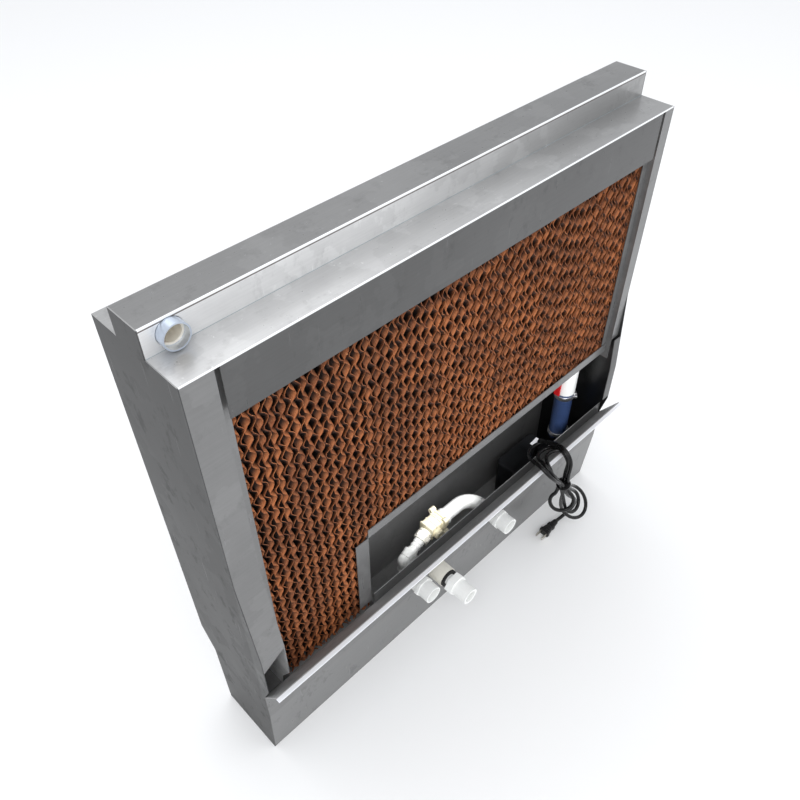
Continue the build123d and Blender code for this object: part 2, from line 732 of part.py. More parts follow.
def build_pieces():
    """All pieces by name, before they move to the shared origin."""
    bay_stop = bay_top + tray_upstand + 1
    pieces = {
        "left_end_plate": end_plate(0, flare_left),
        "right_end_plate": end_plate(inner_right, flare_right),
        "sump_trough": sump_trough(),
        "bay_sill": bay_sill(),
        "pad_rest": pad_rest(),
        "left_jamb": left_jamb(),
        "right_jamb_upper": right_jamb_upper(),
        "right_jamb_lower": right_jamb_lower(),
        "bay_side": bay_side(),
        "pad_tray": pad_tray(),
        "bay_back_panel": block(
            (bay_wall + sheet, right_web), (depth - sheet, depth), (sump_rear_height, bay_stop - 1),
        ),
        "front_header": front_header(),
        "rear_header": rear_header(),
        "spray_hood": spray_hood(),
        "left_front_stop": pad_stop(left_web, stop_setback, 1, -1, left_pad_bottom, stop_top),
        "right_front_stop": pad_stop(right_web, stop_setback, -1, -1, bay_stop, stop_top),
        "left_rear_stop": pad_stop(left_web, pad_back + 2, 1, -1, sump_rear_height, pad_top),
        "right_rear_stop": pad_stop(right_web, pad_back + 2, -1, -1, tray_floor, pad_top),
        "narrow_pad": narrow_pad(),
        "wide_pad": wide_pad(),
        "drain_socket": wall_socket(drain_x, socket_reach),
        "drain_nut": wall_nut(drain_x, fitting_height, pipe_outer, nut_flats),
        "inlet_socket": wall_socket(inlet_x, socket_reach),
        "inlet_nut": wall_nut(inlet_x, fitting_height, pipe_outer, nut_flats),
        "coupler_nut": wall_nut(coupler_x, coupler_height, coupler_neck_outer, coupler_nut_flats),
    }
    for group in (coupler_pieces, inlet_pieces, pump_pieces, riser_pieces, spray_pieces, cord_pieces):
        pieces.update(group())
    return pieces


front_reach = coupler_body_length + coupler_washer_thickness + coupler_neck_length
front_reach += coupler_collar_length + coupler_socket_length
to_origin = Pos(-width / 2, (front_reach - depth) / 2, 0)
os.makedirs("parts", exist_ok=True)
for name, piece in build_pieces().items():
    export_step(to_origin * piece, f"parts/{name}.step")
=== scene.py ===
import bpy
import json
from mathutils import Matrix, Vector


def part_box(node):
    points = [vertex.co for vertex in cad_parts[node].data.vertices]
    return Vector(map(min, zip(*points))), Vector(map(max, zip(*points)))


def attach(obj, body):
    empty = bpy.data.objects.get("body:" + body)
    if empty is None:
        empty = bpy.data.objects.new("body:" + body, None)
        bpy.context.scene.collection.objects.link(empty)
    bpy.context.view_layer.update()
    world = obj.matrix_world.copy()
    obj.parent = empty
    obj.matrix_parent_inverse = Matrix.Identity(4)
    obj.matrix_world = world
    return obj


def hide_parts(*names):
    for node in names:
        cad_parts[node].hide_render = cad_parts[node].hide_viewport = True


bl_info = {
    "name": "Evaporative Cooling Pad Unit",
    "version": (1, 0, 0),
    "blender": (4, 5, 0),
    "location": "3D View > Sidebar > Cooling Pad",
    "description": "Dresses the cooling pad unit: sheet case, pads, pipework, pump and power cord",
    "category": "Object",
}

import json
import math
import random

import bmesh
import bpy
from mathutils import Matrix, Quaternion, Vector

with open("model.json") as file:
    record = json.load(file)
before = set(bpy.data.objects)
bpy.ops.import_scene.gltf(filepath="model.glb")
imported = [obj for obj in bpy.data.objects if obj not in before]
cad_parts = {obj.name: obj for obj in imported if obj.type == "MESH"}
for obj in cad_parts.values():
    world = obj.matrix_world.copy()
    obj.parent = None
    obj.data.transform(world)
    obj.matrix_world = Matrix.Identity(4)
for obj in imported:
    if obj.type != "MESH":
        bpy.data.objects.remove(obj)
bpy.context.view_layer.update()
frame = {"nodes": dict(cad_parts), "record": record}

# The drawing's zero, left front foot of the case, in the row frame.
ZERO = Vector((-0.39, -0.03465, 0.0))
MM = 0.001
CASE = "case"


def at(x, y, z):
    """Row point of a place in the drawing's millimetres."""
    return ZERO + Vector((x, y, z)) * MM


def linear(red, green, blue):
    """Linear colour of an 8-bit display colour."""
    steps = (red, green, blue)
    return tuple(((c / 255 + 0.055) / 1.055) ** 2.4 if c > 10 else c / 3295 for c in steps) + (1.0,)


def darker(tone, part):
    """A linear colour at part of its strength."""
    return tuple(channel * part for channel in tone[:3]) + (1.0,)


class Signal:
    """A node's output that Python arithmetic can use."""

    def __init__(self, finish, socket):
        self.finish, self.socket = finish, socket

    def do(self, operation, *others):
        return self.finish.node("Math", {"operation": operation}, dict(enumerate([self, *others])))

    def swapped(self, operation, other):
        return self.finish.node("Math", {"operation": operation}, {0: other, 1: self})

    def __add__(self, other):
        return self.do("ADD", other)

    def __sub__(self, other):
        return self.do("SUBTRACT", other)

    def __rsub__(self, other):
        return self.swapped("SUBTRACT", other)

    def __mul__(self, other):
        return self.do("MULTIPLY", other)

    def __truediv__(self, other):
        return self.do("DIVIDE", other)

    def __pow__(self, other):
        return self.do("POWER", other)

    __radd__, __rmul__ = __add__, __mul__

    def step(self, low, high):
        """0 below low, 1 above high and smooth between them."""
        return self.finish.node(
            "MapRange", {"interpolation_type": "SMOOTHSTEP"}, {0: self, 1: low, 2: high, 3: 0.0, 4: 1.0}
        )

    def band(self, low, high, soft):
        """1 between low and high."""
        return self.step(low - soft, low + soft) * (1 - self.step(high - soft, high + soft))


class Finish:
    """One procedural material."""

    def __init__(self, name, **plain):
        self.material = bpy.data.materials.new(name)
        self.material.use_nodes = True
        self.tree = self.material.node_tree
        self.shader = self.tree.nodes["Principled BSDF"]
        for key, value in plain.items():
            self.shader.inputs[key.replace("_", " ")].default_value = value
        self.place = self.node("TexCoord", out="Object")
        # The drawing's own x, y and z in millimetres at each spot of the surface.
        self.mm = tuple((way - zero) / MM for way, zero in zip(self.split(self.place), ZERO))

    def node(self, kind, settings=None, sockets=None, out=0):
        """Adds a node: its settings come first, then the values or links of its sockets."""
        made = self.tree.nodes.new("ShaderNode" + kind)
        for key, value in (settings or {}).items():
            if key == "stops":
                ramp = made.color_ramp
                while len(ramp.elements) < len(value):
                    ramp.elements.new(0.5)
                for element, (spot, colour) in zip(ramp.elements, value):
                    element.position, element.color = spot, colour
            else:
                setattr(made, key, value)
        for key, value in (sockets or {}).items():
            if isinstance(value, Signal):
                self.tree.links.new(value.socket, made.inputs[key])
            else:
                made.inputs[key].default_value = value
        return Signal(self, made.outputs[out])

    def split(self, vector):
        """The three parts of a vector."""
        parts = self.node("SeparateXYZ", None, {0: vector})
        return tuple(Signal(self, parts.socket.node.outputs[i]) for i in range(3))

    def noise(self, scale, detail=2.0, stretch=(1.0, 1.0, 1.0), shift=0.0, rough=0.5, turn=(0.0, 0.0, 0.0)):
        """Noise of that many lumps a metre, from about 0.3 to 0.7."""
        spot = self.node("Mapping", None, {0: self.place, 1: (shift,) * 3, 2: turn, 3: stretch})
        settings = {"Vector": spot, "Scale": scale, "Detail": detail, "Roughness": rough}
        return self.node("TexNoise", None, settings)

    def mix(self, share, low, high, blend="MIX"):
        """Colour low where share is 0 and high where it is 1."""
        kind = {"data_type": "RGBA", "blend_type": blend}
        return self.node("Mix", kind, {0: share, 6: low, 7: high}, out=2)

    def bump(self, height, distance, strength=1.0):
        return self.node("Bump", None, {"Height": height, "Distance": distance, "Strength": strength})

    def feed(self, **sockets):
        """Sets or links the shader's sockets and returns the material."""
        for key, value in sockets.items():
            target = self.shader.inputs[key.replace("_", " ")]
            if isinstance(value, Signal):
                self.tree.links.new(value.socket, target)
            else:
                target.default_value = value
        return self.material


def dress(node, material):
    """Gives a CAD node a material in all its slots."""
    mesh = frame["nodes"][node].data
    mesh.materials.clear()
    mesh.materials.append(material)


def dress_slots(**materials):
    """Gives every CAD node of a material slot that slot's material."""
    for member in frame["record"]["subparts"]:
        if member["material_slot"] in materials:
            dress(member["node"], materials[member["material_slot"]])


def shown(name, data):
    """New object in the scene."""
    made = bpy.data.objects.new(name, data)
    bpy.context.scene.collection.objects.link(made)
    return made


def piece(name, mesh, material, body=CASE, smooth=None):
    """Object from a mesh in row metres, riding on a body."""
    made = shown(name, mesh)
    mesh.materials.append(material)
    if smooth is not None:
        for face in mesh.polygons:
            face.use_smooth = True
        mesh.set_sharp_from_angle(angle=math.radians(smooth))
    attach(made, body)
    return made


def mesh_of(name, build):
    """Mesh made by a function that fills a bmesh."""
    made = bmesh.new()
    build(made)
    mesh = bpy.data.meshes.new(name)
    made.normal_update()
    made.to_mesh(mesh)
    made.free()
    return mesh


def ring_loft(made, rings, closed=False, caps=True):
    """Skin over rings of points; each ring has as many points."""
    rows = [[made.verts.new(p) for p in ring] for ring in rings]
    pairs = list(zip(rows, rows[1:])) + ([(rows[-1], rows[0])] if closed else [])
    for low, high in pairs:
        for i in range(len(low)):
            j = (i + 1) % len(low)
            made.faces.new((low[i], low[j], high[j], high[i]))
    if caps and not closed:
        made.faces.new(rows[0][::-1])
        made.faces.new(rows[-1])


def turned(made, profile, place, sides=48, closed=False):
    """Solid of revolution: (radius, height) pairs about the z axis of a placing matrix."""
    rings = []
    for radius, height in profile:
        rings.append([
            place @ (Vector((radius * math.cos(a), radius * math.sin(a), height)) * MM)
            for a in (math.tau * i / sides for i in range(sides))
        ])
    ring_loft(made, rings, closed=closed)


def drawn_box(node):
    """A node's lowest and highest corners in drawing millimetres."""
    return [Vector((corner[i] - ZERO[i]) / MM for i in range(3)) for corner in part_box(node)]


def facing(point, direction, roll=0.0):
    """Matrix whose z axis runs along direction from a drawing point."""
    turn = Vector(direction).to_track_quat("Z", "Y")
    return Matrix.Translation(at(*point)) @ turn.to_matrix().to_4x4() @ Matrix.Rotation(roll, 4, "Z")


def bent_tube(made, corners, bend, radius, sides=32, steps=8):
    """Round tube along straight runs (drawing millimetres) joined by arcs."""
    corners = [Vector(corner) for corner in corners]
    path = [corners[0]]
    for before, here, after in zip(corners, corners[1:], corners[2:]):
        into, out = (before - here).normalized(), (after - here).normalized()
        trim_back = bend / math.tan(into.angle(out) / 2)
        centre = here + (into + out).normalized() * (bend / math.sin(into.angle(out) / 2))
        first, last = here + into * trim_back - centre, here + out * trim_back - centre
        for step in range(steps + 1):
            path.append(centre + first.slerp(last, step / steps) * bend)
    path.append(corners[-1])
    side = Vector((0, 0, 1))
    rings = []
    for place, point in enumerate(path):
        ahead = path[min(place + 1, len(path) - 1)] - path[max(place - 1, 0)]
        across = ahead.cross(side).normalized()
        up = across.cross(ahead).normalized()
        spots = [math.tau * spoke / sides for spoke in range(sides)]
        ring = [point + (across * math.cos(a) + up * math.sin(a)) * radius for a in spots]
        rings.append([at(*spot) for spot in ring])
    ring_loft(made, rings)


def prism(made, stations, place, corner=2.5, steps=3):
    """Skin over rounded rectangles: (height, half width, half depth) up a placing matrix's z axis."""
    rings = []
    for height, wide, deep in stations:
        soft = min(corner, wide * 0.98, deep * 0.98)
        ring = []
        for turn, (sx, sy) in enumerate(((1, 1), (-1, 1), (-1, -1), (1, -1))):
            for step in range(steps + 1):
                angle = math.tau * (turn + step / steps) / 4
                x = sx * (wide - soft) + soft * math.cos(angle)
                y = sy * (deep - soft) + soft * math.sin(angle)
                ring.append(place @ (Vector((x, y, height)) * MM))
        rings.append(ring)
    ring_loft(made, rings)


# What a user would change

def size(label, about, default):
    """Length property shown in the scene's units."""
    return bpy.props.FloatProperty(
        name=label, description=about, default=default, unit="LENGTH", precision=5
    )


def share(label, about, default):
    """Property from 0 to 1."""
    return bpy.props.FloatProperty(
        name=label, description=about, default=default, subtype="FACTOR", min=0.0, max=1.0
    )


def tint(label, about, default):
    """Colour property, given as an 8-bit display colour."""
    return bpy.props.FloatVectorProperty(
        name=label, description=about, default=linear(*default), subtype="COLOR", size=4, min=0.0, max=1.0
    )


def power(label, about, default):
    """Light property in watts."""
    return bpy.props.FloatProperty(name=label, description=about, default=default, unit="POWER")


class SheetLook(bpy.types.PropertyGroup):
    """Galvanised sheet of the case"""

    # The painted reflection and shade of every sheet face is a share of this colour.
    zinc: tint("Zinc", "Clean zinc where it is brightest", (240, 240, 240))
    metal: share("Metal", "How metallic the zinc is", 0.55)
    plate_metal: share("End plates", "How much more metallic the outer end plates are", 0.4)
    roughness: share("Roughness", "Roughness of clean zinc", 0.3)


class PadLook(bpy.types.PropertyGroup):
    """Corrugated paper of the two pads"""

    pitch: size("Pitch", "Width that one corrugated sheet takes", 0.0072)
    period: size("Flute period", "Height of one flute", 0.0249)
    paper_thickness: size("Paper", "Thickness of the stiffened paper", 0.00055)
    jitter: size("Jitter", "How far a flute strays sideways", 0.00035)
    ragged: size("Ragged edge", "Depth of the torn front edge", 0.0012)
    paper: tint("Paper", "Clean paper", (186, 106, 58))
    paper_dark: tint("Stained paper", "Paper with more resin", (134, 70, 36))
    fibre: tint("Fibre", "Loose fibres and torn edges", (232, 166, 112))
    # Colour of the painted shadow deep in the flutes and of the painted shade on the faces that look down.
    painted_shade_colour: tint("Inside", "Colour deep in the flutes", (24, 9, 4))


class CordLook(bpy.types.PropertyGroup):
    """Power cord and its hank"""

    diameter: size("Diameter", "Outside diameter", 0.0065)
    length: size("Length", "Real length from strain relief to plug", 1.93)
    layer: bpy.props.FloatProperty(name="Layer", description="From one strand to the next, mm", default=6.6)
    tie: bpy.props.FloatVectorProperty(
        name="Tie", description="Middle of the tie, mm", default=(601, -54.5, 168), subtype="XYZ",
    )


class StageLook(bpy.types.PropertyGroup):
    """Floor, lights and camera"""

    floor: tint("Floor", "Pale floor", (248, 248, 248))
    sky: tint("Surroundings", "Even light from all round", (250, 252, 255))
    sky_strength: bpy.props.FloatProperty(
        name="Sky strength", description="Strength of the even light", default=0.95,
    )
    key: power("Key light", "Soft light from the upper left", 34.0)
    fill: power("Fill light", "Soft light from the right", 10.0)
    top: power("Top light", "Soft light from above", 16.0)
    bay: power("Bay light", "Narrow light on the fittings in the bay", 55.0)
    camera_place: bpy.props.FloatVectorProperty(
        name="Camera", description="Where the camera stands", default=(-0.58847, -0.50583, 1.21149),
        subtype="TRANSLATION", precision=5,
    )
    camera_aim: bpy.props.FloatVectorProperty(
        name="Aim", description="Which way it looks", default=(0.4995806, 0.5110426, -0.6994675),
        subtype="DIRECTION", precision=6,
    )
    camera_roll: bpy.props.FloatProperty(
        name="Roll", description="Tilt of the camera about its own line of sight",
        default=math.radians(-0.357), unit="ROTATION", precision=4,
    )
    focal: bpy.props.FloatProperty(
        name="Focal length", description="In pixels of a picture 800 wide", default=779.9,
    )


# Sheet steel

# Painted reflection and shade of the zinc for the ways a sheet faces, as shares of its clean colour: each
# face is painted as light or dark as the light and surroundings that it would mirror.
# A pair fades along the piece, from left to right or, where it stands upright, from its foot up.
BRIGHT, PALE, MIDDLE, DIM, DARK = 1.0, 0.65, 0.4, 0.25, 0.12

SHEET_PAINTED_SHADES = {
    "left_end_plate": {"side": DARK, "front": DARK},
    "right_end_plate": {"side": DARK, "front": DARK},
    "front_header": {"up": (PALE, MIDDLE), "front": DARK},
    "spray_hood": {"up": DIM, "front": (BRIGHT, MIDDLE)},
    "sump_trough": {"up": (PALE, MIDDLE), "slope": (PALE, MIDDLE), "front": DIM, "inside": (PALE, DIM)},
    "bay_sill": {"up": PALE},
    "left_jamb": {"side": BRIGHT},
    "right_jamb_lower": {"front": DARK},
    "bay_side": {"front": (BRIGHT, DIM)},
    "bay_back_panel": {"front": MIDDLE},
    "left_rear_stop": {"front": MIDDLE},
    "right_rear_stop": {"front": MIDDLE},
}
# Painted reflection and shade for the faces and sheets that the table above leaves out.
PLAIN_SHEET_PAINTED_SHADES = {"front": DIM, "back": DIM, "side": DIM, "up": MIDDLE, "slope": DIM, "down": DIM}
UPRIGHT = (
    "left_end_plate", "right_end_plate", "left_jamb", "right_jamb_upper", "right_jamb_lower", "bay_side",
)
# How much of its glancing shine an outer end plate keeps.
END_PLATE_GLANCE = 0.63


def painted_face_shade(finish, zinc, along, shade):
    """Painted reflection and shade of one way of facing: one shade of the zinc, or a pair of them faded
    along the piece.
    """
    if not isinstance(shade, tuple):
        return darker(zinc, shade)
    return finish.mix(along, *(darker(zinc, part) for part in shade))


def sheet_finish(node, look):
    """Rolled galvanised sheet: dull zinc with painted reflection and shade by the way each face looks,
    stains, scuffs, fine scratches and a slow ripple.
    """
    glance = END_PLATE_GLANCE if node.endswith("end_plate") else 1.0
    finish = Finish("zinc_" + node, Specular_Tint=(glance, glance, glance, 1.0))
    axis = 2 if node in UPRIGHT else 0
    low, high = drawn_box(node)
    along = finish.mm[axis].step(low[axis], high[axis])
    shades = {**PLAIN_SHEET_PAINTED_SHADES, **SHEET_PAINTED_SHADES.get(node, {})}
    colours = {way: painted_face_shade(finish, look.zinc, along, shade) for way, shade in shades.items()}
    way = finish.split(finish.node("NewGeometry", out=1))
    # From 30 to 45 mm back, the trough's front faces lie inside the bay. They get their own painted shade,
    # lighter than the outside front at the left end, and less metal.
    inner = finish.mm[1].step(30, 45)
    if node == "sump_trough":
        colours["front"] = finish.mix(inner, colours["front"], colours["inside"])
    # Painted reflection and shade: each face takes the colour for the way that it looks, front, back,
    # sideways, sloping, up or down.
    colour = finish.mix(way[1].step(-0.2, 0.2), colours["front"], colours["back"])
    colour = finish.mix(way[0].do("ABSOLUTE").step(0.6, 0.85), colour, colours["side"])
    colour = finish.mix(way[2].step(0.25, 0.4), colour, colours["slope"])
    colour = finish.mix(way[2].step(0.75, 0.9), colour, colours["up"])
    colour = finish.mix((way[2] * -1).step(0.45, 0.85), colour, colours["down"])
    seed = sum(map(ord, node)) % 17
    cloud = finish.noise(6.0, 5.0, shift=seed * 0.31, rough=0.6).step(0.35, 0.65)
    stain = finish.noise(17.0, 5.0, shift=seed * 0.53, rough=0.55).step(0.53, 0.56)
    scuff = finish.noise(38.0, 6.0, stretch=(1.0, 1.0, 0.6), shift=seed * 0.17, rough=0.7).step(0.55, 0.66)
    grain = finish.noise(420.0, 2.0, stretch=(0.05, 1.0, 1.0))
    scratch = finish.noise(70.0, 3.0, stretch=(3.0, 3.0, 0.16), turn=(0.3, 0.6, 0.4), shift=3.0)
    scratch = scratch.step(0.68, 0.72)
    shade = 0.9 + cloud * 0.12 + stain * 0.09 + (grain - 0.5) * 0.16 + scratch * 0.22 - scuff * 0.09
    grey = finish.node("CombineColor", None, {0: shade, 1: shade, 2: shade})
    colour = finish.mix(1.0, colour, grey, "MULTIPLY")
    metal = finish.mm[2] * 0 + look.metal
    if node == "sump_trough":
        dull = way[2].band(0.3, 0.75, 0.12)
        metal = metal * (1 - dull * 0.85) * (1 - inner * 0.85)
        scuff = scuff + dull * 4
    elif node == "bay_back_panel":
        metal = metal * 0.1
    elif node.endswith("end_plate"):
        metal = metal + way[0].do("ABSOLUTE").step(0.6, 0.85) * look.plate_metal
    # Painted highlights and lines along the edges; there the zinc is made less metallic so that they show.
    for edge, tone in painted_edge_highlights_and_lines(finish, node):
        colour = finish.mix(edge, colour, linear(*tone))
        metal = metal * (1 - edge * 0.85)
    rough = look.roughness + cloud * 0.06 + stain * 0.05 + scuff * 0.10 - scratch * 0.06
    relief = finish.noise(7.0, 1.0, shift=1.7) + grain * 0.01 - scratch * 0.004
    return finish.feed(
        Base_Color=colour, Metallic=metal, Roughness=rough, Normal=finish.bump(relief, 0.004, 0.22)
    )


def painted_edge_highlights_and_lines(finish, node):
    """Painted highlights along folds and cut edges, with darker or greyer lines beside some of them: (mask,
    tone) pairs.
    """
    x, y, z = finish.mm
    wander = (finish.noise(26.0, 3.0, shift=5.0) - 0.5) * 1.6
    # Tone of the painted highlights, and of the dark lines.
    bright, dark = (246, 248, 250), (96, 88, 84)
    if node == "spray_hood":
        # Painted highlight along the hood's top fold, and a dark line just below it.
        rim = (z + wander * 0.3).step(791.0, 791.5) * (1 - y.step(52.8, 53.6))
        return [(z.band(789.6, 791.0, 0.3), dark), (rim, bright)]
    if node == "front_header":
        # Painted highlight along the ledge's front edge, and a grey line along its top near the back.
        rim = (1 - (y + wander * 0.2).step(1.2, 1.7)) * z.step(758.4, 758.9)
        return [(y.band(50.5, 51.6, 0.3) * z.step(759, 759.6), (150, 160, 164)), (rim, bright)]
    if node == "sump_trough":
        # Painted highlight along the hem of the lip.
        hem = (1 - (y + wander * 0.4).step(-34.6, -33.8)) * z.step(214, 216)
        return [(hem, (250, 251, 255))]
    if node == "left_end_plate":
        # A dark strip down the plate's front edge above 181 mm.
        return [((1 - y.step(0.8, 1.4)) * z.step(180, 182) * 0.6, (52, 54, 54))]
    return []


class CASE_OT_sheet(bpy.types.Operator):
    """Finishes every folded sheet of the case as rolled galvanised steel"""

    bl_idname = "cooling_pad.sheet"
    bl_label = "Sheet case"

    def execute(self, context):
        look = context.scene.cooling_sheet
        for member in frame["record"]["subparts"]:
            if member["material_slot"] == "galvanised_sheet":
                dress(member["node"], sheet_finish(member["node"], look))
        return {"FINISHED"}


# Pads

# Middle of the pads' depth, half of it, and the bay's corner that the narrow pad is cut round.
PAD_MIDDLE, PAD_HALF = 61.0, 50.0
BAY_CORNER = (206.3, 0, 336.6)


def pad_finish(look):
    """Resin-soaked brown paper: dark cut rims with pale torn flecks, painted shade on the faces that look
    down, and painted shadow deep in the flutes.
    """
    finish = Finish("corrugated_paper", Roughness=0.78)
    depth = (finish.mm[1] - PAD_MIDDLE).do("ABSOLUTE") * -1 + PAD_HALF
    # Painted shadow: darker from 0.4 mm to 8 mm behind the front or back face.
    flute_shadow = depth.step(0.4, 8.0)
    # Painted shade on the faces that look down.
    shaded = 1 - finish.split(finish.node("NewGeometry", out=1))[2].step(-0.25, 0.3)
    fibre = finish.noise(900.0, 3.0, stretch=(1.0, 1.0, 0.25)).step(0.3, 0.7)
    patch = finish.noise(22.0, 4.0).step(0.35, 0.65)
    colour = finish.mix(patch, tuple(look.paper), tuple(look.paper_dark))
    colour = finish.mix(fibre * 0.25, colour, tuple(look.fibre))
    torn = finish.noise(300.0, 3.0, shift=2.0).step(0.6, 0.66)
    edge = 1 - depth.step(0.25, 0.7)
    rim = finish.mix(torn, linear(112, 58, 32), tuple(look.fibre))
    # Painted shade on the downward faces just behind the front, then painted shadow deeper in the flutes.
    colour = finish.mix(shaded * depth.step(0.3, 1.6) * 0.86, colour, tuple(look.painted_shade_colour))
    colour = finish.mix(flute_shadow * 0.97, colour, tuple(look.painted_shade_colour))
    colour = finish.mix(edge * 0.85, colour, rim)
    return finish.feed(Base_Color=colour, Normal=finish.bump(fibre, 0.0004, 0.5))


def pad_sheets(low, high, look, seed, notch=None):
    """Corrugated sheets side by side; every second one has its flutes sloping the other way."""
    rng = random.Random(seed)
    made = bmesh.new()
    depth = high[1] - low[1]
    count = round((high[0] - low[0]) / look.pitch)
    pitch = (high[0] - low[0]) / count
    period, half = look.period, look.paper_thickness / 2
    samples = 6  # points up one flute
    for k in range(count):
        slope = 1 if k % 2 else -1
        centre = low[0] + (k + 0.5) * pitch
        swing = pitch * 0.5 - half
        phase = rng.random()
        stretch = 1 + rng.uniform(-0.03, 0.03)
        floor = low[2] if notch is None or centre < notch[0] else notch[1]
        start = floor - depth - period
        steps = int((high[2] + depth + period - start) / (period / samples))
        rows = []
        for i in range(steps + 1):
            rise = start + i * period / samples
            wave = math.sin(math.tau * ((rise - low[2]) / (period * stretch) + phase))
            wave = max(-1.0, min(1.0, wave * 1.25))
            x = centre + swing * wave + rng.uniform(-1, 1) * look.jitter
            lip = low[1] + rng.random() * look.ragged
            rows.append((
                made.verts.new((x, lip, rise)), made.verts.new((x, high[1], rise + slope * depth)),
            ))
        for (a, b), (c, d) in zip(rows, rows[1:]):
            made.faces.new((a, b, d, c))
        if notch is not None and floor != low[2]:
            trim(made, rows, floor)
    trim(made, None, low[2])
    trim(made, None, high[2], above=True)
    return made


def trim(made, rows, level, above=False):
    """Cuts the sheets level; with rows given, only the faces of those rows."""
    if rows is None:
        geometry = made.verts[:] + made.edges[:] + made.faces[:]
    else:
        verts = [v for pair in rows for v in pair]
        faces = {f for v in verts for f in v.link_faces}
        geometry = verts + list({e for f in faces for e in f.edges}) + list(faces)
    bmesh.ops.bisect_plane(
        made, geom=geometry, plane_co=(0, 0, level), plane_no=(0, 0, 1),
        clear_outer=above, clear_inner=not above,
    )


class CASE_OT_pads(bpy.types.Operator):
    """Builds both pads from their corrugated sheets"""

    bl_idname = "cooling_pad.pads"
    bl_label = "Corrugated pads"

    def execute(self, context):
        look = context.scene.cooling_pads
        paper = pad_finish(look)
        for node, seed in (("wide_pad", 11), ("narrow_pad", 7)):
            low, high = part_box(node)
            notch = None
            if node == "narrow_pad":
                corner = at(*BAY_CORNER)
                notch = (corner.x, corner.z)
            sheets = pad_sheets(low, high, look, seed, notch)
            mesh = bpy.data.meshes.new(node + "_sheets")
            sheets.to_mesh(mesh)
            sheets.free()
            pad = piece(node + "_sheets", mesh, paper)
            wall = pad.modifiers.new("paper", "SOLIDIFY")
            wall.thickness, wall.offset = look.paper_thickness, 0.0
            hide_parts(node)
        return {"FINISHED"}


# Plastics, rubber and small metal

def moulded(name, shade, roughness, grime=0.12, shine=0.5):
    """Moulded or extruded plastic with faint mottling and rubbed-in dirt."""
    finish = Finish(name, Specular_IOR_Level=shine)
    dirt = finish.noise(55.0, 5.0, rough=0.6).step(0.45, 0.75)
    mottle = finish.noise(240.0, 2.0).step(0.3, 0.7)
    tone = linear(*shade)
    colour = finish.mix(dirt * grime, tone, darker(tone, 0.55))
    colour = finish.mix(mottle * 0.12, colour, darker(tone, 0.8))
    relief = finish.bump(mottle + dirt, 0.0003, 0.15)
    return finish.feed(Base_Color=colour, Roughness=roughness + dirt * 0.15, Normal=relief)


def bright_metal(name, shade, roughness=0.25):
    """Bare metal with fine rolling lines."""
    finish = Finish(name, Metallic=1.0)
    line = finish.noise(300.0, 3.0, stretch=(1.0, 1.0, 6.0))
    tone = linear(*shade)
    colour = finish.mix(line.step(0.35, 0.65), darker(tone, 0.7), tone)
    relief = finish.bump(line, 0.0002, 0.3)
    return finish.feed(Base_Color=colour, Roughness=roughness + line * 0.1, Normal=relief)


# Middle of the hood's stub as (x, z), and of the pump hose as (x, y).
STUB_AXIS = (30.0, 776.4)
HOSE_AXIS = (738.0, 55.0)
PIPE_RADIUS = 12.5


def stub_finish():
    """Bright tinned tube end, tinted blue-grey outside as a painted reflection, pale and crusted inside."""
    finish = Finish("stub_tube", Roughness=0.28)
    across, _, up = finish.mm
    out = ((across - STUB_AXIS[0]) ** 2 + (up - STUB_AXIS[1]) ** 2) ** 0.5
    inside = 1 - out.step(12.2, 13.2)
    crust = finish.noise(150.0, 4.0).step(0.5, 0.62) * inside * (up - across).step(738.0, 752.0)
    # Outside, a blue-grey tone as a painted reflection; inside, pale.
    colour = finish.mix(inside, linear(196, 206, 220), linear(240, 234, 220))
    colour = finish.mix(crust, colour, linear(128, 84, 62))
    return finish.feed(Base_Color=colour, Metallic=0.75 - inside * 0.65)


def fitting(name, build, material, replaces=(), smooth=35):
    """Piece on the case that the bay light also falls on, and the CAD nodes that it stands for."""
    made = piece(name, mesh_of(name, build), material, smooth=smooth)
    bpy.data.collections["open_bay"].objects.link(made)
    if replaces:
        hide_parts(*replaces)
    return made


def inlet_bend(made):
    """Pipe from the inlet socket round to the union, with the collar that it is glued into"""
    low, high = drawn_box("inlet_pipe")
    leg, reach, middle = high.x - PIPE_RADIUS, high.y - PIPE_RADIUS, (low.z + high.z) / 2
    corners = [(leg, low.y, middle), (leg, reach, middle), (low.x, reach, middle)]
    bent_tube(made, corners, 30.0, PIPE_RADIUS)
    hub = facing((low.x, reach, middle), (1, 0, 0))
    turned(made, [(12.6, 0), (15.2, 0), (15.2, 7), (14.6, 8.2), (12.6, 8.6)], hub, closed=True)


def union_plate(made):
    """Square flange with an eye at each corner, a waist and a ribbed rim"""
    low, high = drawn_box("inlet_union")
    centre = (low + high) / 2
    place = facing((low.x, centre.y, centre.z), (1, 0, 0))
    prism(made, [(0, 15, 15), (0.6, 15.6, 15.6), (3.4, 15.6, 15.6), (4, 15, 15)], place)
    prism(made, [(3.9, 12.6, 12.6), (6.2, 12.6, 12.6)], place)
    prism(made, [(6, 15, 15), (6.6, 15.6, 15.6), (9.4, 15.6, 15.6), (10, 15, 15)], place)
    turned(made, [(12.5, 9.9), (16.2, 9.9), (16.2, 13), (12.5, 13)], place, closed=True)
    for across in (-1, 1):
        for up in (-1, 1):
            eye = facing((low.x, centre.y + across * 15.5, centre.z + up * 15.5), (1, 0, 0))
            wall = [(2.2, 0), (4.8, 0), (4.8, 10.4), (2.2, 10.4)]
            turned(made, wall, eye, sides=20, closed=True)


